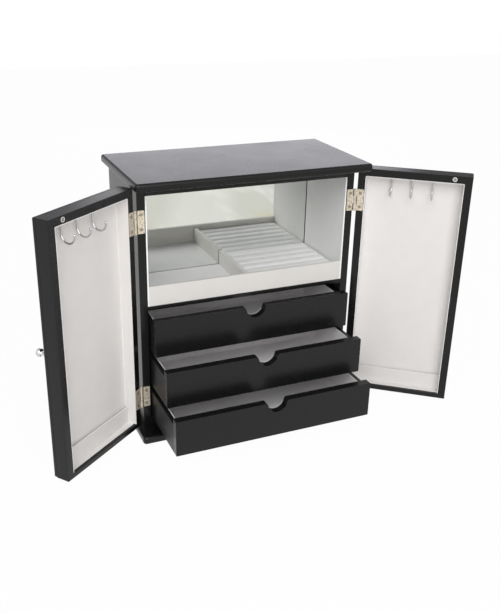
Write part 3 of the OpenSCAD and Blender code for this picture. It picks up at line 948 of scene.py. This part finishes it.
def start_disc(radius, sides, place, rotation=(0, 0, 0)):
    """A flat disc on the bench, ready to be drawn out."""
    bpy.ops.mesh.primitive_circle_add(
        vertices=sides, radius=radius, fill_type="NGON", location=place, rotation=rotation
    )
    disc = set_down()
    open_up(disc)
    bpy.ops.mesh.select_mode(type="FACE")
    bpy.ops.mesh.select_all(action="SELECT")
    return disc


def wire_hook(a):
    """One hook at that distance from the hinge edge."""
    piece = start_disc(wire, 20, (a, hook_back, hook_top))
    draw_out(0, 0, hook_z - hook_top)
    bpy.ops.mesh.spin(
        steps=20, angle=-math.pi, center=(a, hook_back + bend, hook_z), axis=(1, 0, 0)
    )
    draw_out(0, 0, tip)
    close_up()
    bpy.ops.mesh.primitive_uv_sphere_add(
        segments=24, ring_count=14, radius=1.4 * mm,
        location=(a, hook_back + 2 * bend, hook_z + tip),
    )
    ball = set_down()
    low, high = (a, hook_back, rail_under - 0.7 * mm), (a, hook_back, rail_under + 0.2 * mm)
    collar = rod("collar", 1.9 * mm, low, high, 24)
    round_rims(collar, 0.25 * mm, 2)
    return join("hook", [piece, ball, collar])


chrome = plated("hook_chrome", (0.66, 0.655, 0.67), (0.46, 0.455, 0.47), 260, 0.6, 0.13, 0.004)
for side, first in (("left", 52.5 * mm), ("right", 37.5 * mm)):
    name = f"{side}_door_hooks"
    hooks = join(name, [wire_hook(first + 23 * mm * k) for k in range(3)])
    hung(hooks, side, name, chrome, "hook_chrome", 50, False)

# ---- Door hinge leaves, catch washers and their screws ----
# The door's half of each hinge lies on the inner face of the hinge stile. On the top rail a plated steel
# washer is held by one more of the same screws, and meets the magnet when the door shuts.

steel = plated("catch_steel", (0.8, 0.785, 0.76), (0.45, 0.44, 0.42), 600, 0.7, 0.3, 0.01, 0.5)
catch_a = 106.5 * mm
catch_z = door_high - stile / 2


for side in ("left", "right"):
    name = f"{side}_door_hinge_leaves"
    leaves = []
    for z in hinge_zs:
        leaf = hinge_leaf(z - door_low, False, (0,))
        leaf.matrix_world = Matrix.Translation(-door_corner)
        settle(leaf)
        leaves.append(leaf)
    hung(join(name, leaves), side, name, hinge_plate, "hinge_brass")

    name = f"{side}_catch_washer"
    ring = rod(name, 2.6 * mm, (catch_a, 0, catch_z), (catch_a, 0.5 * mm, catch_z), 40)
    cut_away(ring, rod("hole", 1.62 * mm, (catch_a, -1 * mm, catch_z), (catch_a, 1 * mm, catch_z)))
    round_rims(ring, 0.14 * mm, 2)
    hung(ring, side, name, steel, "catch_steel")

    name = f"{side}_door_screws"
    spots = [
        (4 * mm, leaf_thick, z - door_low + end * screw_off) for z in hinge_zs for end in (-1, 1)
    ]
    screws = driven_screws(spots + [(catch_a, 0.42 * mm, catch_z)], name, True)
    hung(screws, side, name, screw_metal, "screw_brass")
bpy.data.objects.remove(pattern_screw)

# ---- Knobs ----
# Each door has a small turned brass knob near its free edge: a foot, a slim neck and a round head with a
# flattened crown. It is chrome plated and polished, and a threaded stud through the stile holds it.

knob_a = 121.75 * mm
knob_z = door_high / 2
knob_foot = 3.3
knob_rings = (  # distance from the door's face and radius, in millimetres
    (0.35, 3.5), (1.0, 3.45), (1.5, 3.0), (1.9, 2.45), (2.8, 2.05), (4.0, 1.95), (5.0, 2.15),
    (5.6, 2.6), (6.0, 3.3), (6.6, 3.95), (7.4, 4.38), (8.2, 4.5), (9.2, 4.4), (10.2, 4.0),
    (11.1, 3.3), (11.8, 2.4), (12.25, 1.4), (12.45, 0.6),
)
knob_metal = plated("knob_chrome", (0.7, 0.7, 0.72), (0.5, 0.5, 0.52), 200, 0.4, 0.04, 0.003)


for side in ("left", "right"):
    name = f"{side}_knob"
    knob = start_disc(knob_foot * mm, 48, (knob_a, door_face, knob_z), (math.pi / 2, 0, 0))
    knob.name = knob.data.name = name
    out, radius = 0, knob_foot
    for next_out, next_radius in knob_rings:  # draws each ring out and brings it to its radius
        draw_out(0, (out - next_out) * mm, 0)
        size = next_radius / radius
        bpy.ops.transform.resize(
            value=(size, 1, size), center_override=(knob_a, door_face - next_out * mm, knob_z)
        )
        out, radius = next_out, next_radius
    close_up()
    hung(knob, side, name, knob_metal, "knob_chrome", 60, False)
    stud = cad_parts[f"{side}_knob_stud"]
    stud.data.materials.clear()
    stud.data.materials.append(steel)

# ---- Drawers ----
# Three like drawers with no runners: each slides on the board under it. The front is a thicker board
# with rounded edges and a finger notch routed through its top edge. Behind it stand two sides and a
# rear wall of thinner board with a bottom let in, all sprayed black.

drawer_x = 117.5 * mm
drawer_places = {  # the front's face and the drawer's underside
    "bottom_drawer": (-140.3 * mm, 18.2 * mm), "middle_drawer": (-112.6 * mm, 61.7 * mm),
    "top_drawer": (-76.3 * mm, 105.2 * mm),
}
front_thick = 9 * mm
drawer_high = 42 * mm
drawer_long = 104 * mm
wall = 5 * mm
wall_high = 35 * mm
notch_wide = 23 * mm
notch_deep = 12.5 * mm
shoulder = 2.75 * mm
drawer_paint = painted(
    "drawer_wood", (0.007, 0.007, 0.0072), (0.04, 0.038, 0.036), 0.42, 0.14, 0.5, 0.03, 1.4
)


def notch_cutter(y, low):
    """A cutter with the notch's outline: a half round foot, straight sides and round shoulders."""
    top = low + drawer_high
    half = notch_wide / 2
    foot = top - notch_deep + half
    near, far = y - 3 * mm, y + 14 * mm
    plug = rod("plug", half, (0, near, foot), (0, far, foot), 64)
    sides = blank("sides", (-half, near, foot), (half, far, top + 1 * mm))
    corners = []
    for side in (-1, 1):
        x = side * (half + shoulder)
        left, right = sorted((side * (half - 0.5 * mm), x))
        corner = blank("corner", (left, near, top - shoulder), (right, far, top + 1 * mm))
        z = top - shoulder
        cut_away(corner, rod("round", shoulder, (x, near - 2 * mm, z), (x, far + 2 * mm, z), 48))
        corners.append(corner)
    return [plug, sides, *corners]


def drawer_front(body, y, low):
    """The notched front."""
    node, back_y = f"{body}_front", y + front_thick
    piece = blank(node, (-drawer_x, y, low), (drawer_x, back_y, low + drawer_high))
    round_edges(piece, 0.8 * mm, 3, lambda e: runs_along(e, 1))
    cut_away(piece, *notch_cutter(y, low))
    open_up(piece)
    bpy.ops.mesh.remove_doubles(threshold=0.01 * mm)
    bpy.ops.mesh.dissolve_limited(angle_limit=math.radians(1))
    close_up()
    round_edges(piece, 1.7 * mm, 4, lambda e: lies_at(e, 1, y))
    round_edges(piece, 0.5 * mm, 2, lambda e: lies_at(e, 1, back_y))
    sprayed(piece, node, body)


def drawer_box(body, y, low):
    """The sides and the rear wall, butt-jointed, and the bottom between them."""
    near, far = y + front_thick, y + drawer_long
    inner = drawer_x - wall
    boards = []
    for x0, x1, y0 in ((-drawer_x, -inner, near), (inner, drawer_x, near), (-inner, inner, far - wall)):
        board = blank("wall", (x0, y0, low), (x1, far, low + wall_high))
        round_rims(board, 0.4 * mm, 2)
        boards.append(board)
    box = join(f"{body}_box", boards)
    sprayed(box, f"{body}_box", body, drawer_paint, "drawer_wood")
    node = f"{body}_bottom"
    bottom = blank(node, (-inner, near, low), (inner, far - wall, low + thin_board))
    round_rims(bottom, 0.3 * mm, 2)
    sprayed(bottom, node, body, drawer_paint, "drawer_wood")


for body, (y, low) in drawer_places.items():
    drawer_front(body, y, low)
    drawer_box(body, y, low)

# ---- Drawer felts ----
# Each drawer is lined with one piece of short silver-grey felt, folded up its four walls and glued. It
# ends level with the side walls, where its top edge is painted paler as a highlight, and it is cut out
# below the finger notch.

felt = 0.8 * mm
silver_felt = clothed(
    "drawer_felt", (0.92, 0.9, 0.905), (0.86, 0.84, 0.845), (0.94, 0.93, 0.94), 2800, 90, 0.12, 0.4
)


for number, (body, (y, low)) in enumerate(drawer_places.items()):
    node = f"{body}_felt"
    side, floor, rim = drawer_x - wall - felt, low + thin_board + felt, low + wall_high
    sheet = pressed_sheet(
        node, (-side, y + front_thick + felt, floor), (side, y + drawer_long - wall - felt, rim),
        2, 1 * mm, 24, 0.3 * mm, felt * 0.95, 31 + 6 * number,
    )
    # The felt's top edge is marked to be painted paler as a highlight.
    mark_rim(sheet, 2, rim, rim - bare_strip)
    cut_away(sheet, *notch_cutter(y, low))
    smooth(sheet, 60, weighted=False)
    fitted(sheet, silver_felt, "drawer_felt", body, node)

# ---- Studio ----
# A plain pale floor and surround, lit softly by a broad light from the front left, a weaker low one and
# a low screen behind the box. Three felt flags that show only in reflections, two behind the box and one
# above it, keep the tops of the doors darker than the slab and give the chrome something dark.

bpy.ops.mesh.primitive_plane_add(size=6, location=(0, 0, 0))
ground = bpy.context.object
ground.name = ground.data.name = "studio_floor"

for name, place, size, turn_up, glow in (
    ("left_flag", (-0.3, 1.5, 0.9), (0.9, 0.8), 90, 0.4),
    ("right_flag", (1.75, 1.5, 0.9), (1.1, 0.8), 90, 0.12),
    ("top_flag", (-0.3, -0.3, 1.8), (3, 3), 0, 0.5),
):
    glowing = [("Emission Color", (0.92, 0.92, 1, 1)), ("Emission Strength", glow)]
    flag_felt = grained(
        name + "_felt", (0.03, 0.03, 0.032), (0.05, 0.05, 0.05), 400, 0.1, glowing
    )
    bpy.ops.mesh.primitive_plane_add(size=1, location=place)
    flag = bpy.context.object
    flag.scale = (*size, 1)
    flag.rotation_euler = (math.radians(turn_up), 0, 0)
    set_down(name)
    flag.data.materials.append(flag_felt)
    flag.visible_camera = flag.visible_diffuse = flag.visible_shadow = False


def seen_directly(tree):
    """1 for rays from the camera, and for mirror and glass rays, and 0 for the light on the object."""
    path = add_node(tree, "LightPath").outputs
    first = sums(tree, "MAXIMUM", path["Is Camera Ray"], path["Is Glossy Ray"])
    return sums(tree, "MAXIMUM", first, path["Is Transmission Ray"])


# White paper that looks white where it is seen and still takes a faint shadow. Its front part is
# streaked with cream for reflected rays only.
paper, tree, shader = new_finish("floor_paper")
place = on_piece(tree)
fibre = add_noise(tree, place, 300)
colour = mix_colour(tree, fibre, (0.79, 0.79, 0.79, 1), (0.82, 0.82, 0.82, 1))
feed(tree, colour, shader.inputs["Base Color"])
shader.inputs["Roughness"].default_value = 0.95
shader.inputs["Specular IOR Level"].default_value = 0.1
parts = add_node(tree, "SeparateXYZ", (place,))
across = sums(tree, "MULTIPLY_ADD", parts.outputs[1], 0.45, parts.outputs[0])
bands = sums(tree, "SINE", sums(tree, "MULTIPLY", across, 24), None)
banded = spread(tree, bands, -0.4, 0.7, 0, 1)
cream = mix_colour(tree, banded, (0.8, 0.8, 0.74, 1), (0.7, 0.7, 0.635, 1))
folds = add_noise(tree, place, 9, 3, 0.5, (1, 0.25, 1))
cream = mix_colour(tree, spread(tree, folds, 0.56, 0.66, 0, 0.8), cream, (0.93, 0.94, 0.9, 1))
cream = mix_colour(tree, spread(tree, folds, 0.44, 0.36, 0, 0.7), cream, (0.67, 0.66, 0.5, 1))
ahead = spread(tree, parts.outputs[1], -0.4, -0.55, 0, 1)
reflected = add_node(tree, "LightPath").outputs["Is Glossy Ray"]
streaked = sums(tree, "MULTIPLY", ahead, reflected)
glow = add_node(tree, "Emission", (mix_colour(tree, streaked, (1, 1, 1, 1), cream),))
share = sums(tree, "MULTIPLY", seen_directly(tree), 0.975)
blend = add_node(tree, "MixShader", (share, shader.outputs[0], glow.outputs[0]))
feed(tree, blend.outputs[0], tree.nodes["Material Output"].inputs["Surface"])
ground.data.materials.append(paper)

ambient = 0.3
surround = bpy.data.worlds.new("surround")
bpy.context.scene.world = surround
surround.use_nodes = True
tree = surround.node_tree
backdrop = tree.nodes["Background"]
backdrop.inputs["Color"].default_value = (1, 1, 1, 1)
strength = sums(tree, "MULTIPLY_ADD", seen_directly(tree), 1 - ambient, ambient)
feed(tree, strength, backdrop.inputs["Strength"])


def soft_light(name, place, aim, wide, high, watts, tint=(1, 1, 1)):
    """A rectangular light at a place, turned to a point."""
    lamp = bpy.data.lights.new(name, "AREA")
    lamp.shape = "RECTANGLE"
    lamp.size, lamp.size_y = wide, high
    lamp.energy = watts
    lamp.color = tint
    holder = bpy.data.objects.new(name, lamp)
    bpy.context.scene.collection.objects.link(holder)
    holder.rotation_euler = (Vector(aim) - Vector(place)).to_track_quat("-Z", "Y").to_euler()
    holder.location = place


soft_light("key_light", (-0.55, -1.4, 1.5), (0, 0, 0.16), 1.8, 1.3, 26.5)
soft_light("fill_light", (-0.25, -1.7, 0.5), (0, 0, 0.15), 1.2, 0.6, 6.5)
soft_light("rear_screen", (0.67, 1.5, 0.42), (0, 0, 0.3), 1.03, 0.7, 2.5, (0.88, 0.86, 1))

# ---- Camera ----
# A normal lens at eye height for someone standing at a table, turned 24 degrees to the left.

lens = bpy.data.cameras.new("camera")
camera = bpy.data.objects.new("camera", lens)
bpy.context.scene.collection.objects.link(camera)
yaw, pitch, roll = math.radians(24.03), math.radians(23.694), math.radians(1.365)
ahead = Vector((math.sin(yaw) * math.cos(pitch), math.cos(yaw) * math.cos(pitch), -math.sin(pitch)))
level = Vector((math.cos(yaw), -math.sin(yaw), 0))
above = level.cross(ahead)
tilted = math.cos(roll) * level + math.sin(roll) * above
upright = math.cos(roll) * above - math.sin(roll) * level
camera.matrix_world = (
    Matrix.Translation((-0.34623, -0.83573, 0.51395))
    @ Matrix((tilted, upright, -ahead)).transposed().to_4x4()
)
lens.sensor_fit = "HORIZONTAL"
lens.sensor_width = 36
lens.lens = 816.418 * 36 / 500
bpy.context.scene.camera = camera
bpy.context.scene.view_settings.view_transform = "Standard"

bpy.ops.object.select_all(action="DESELECT")
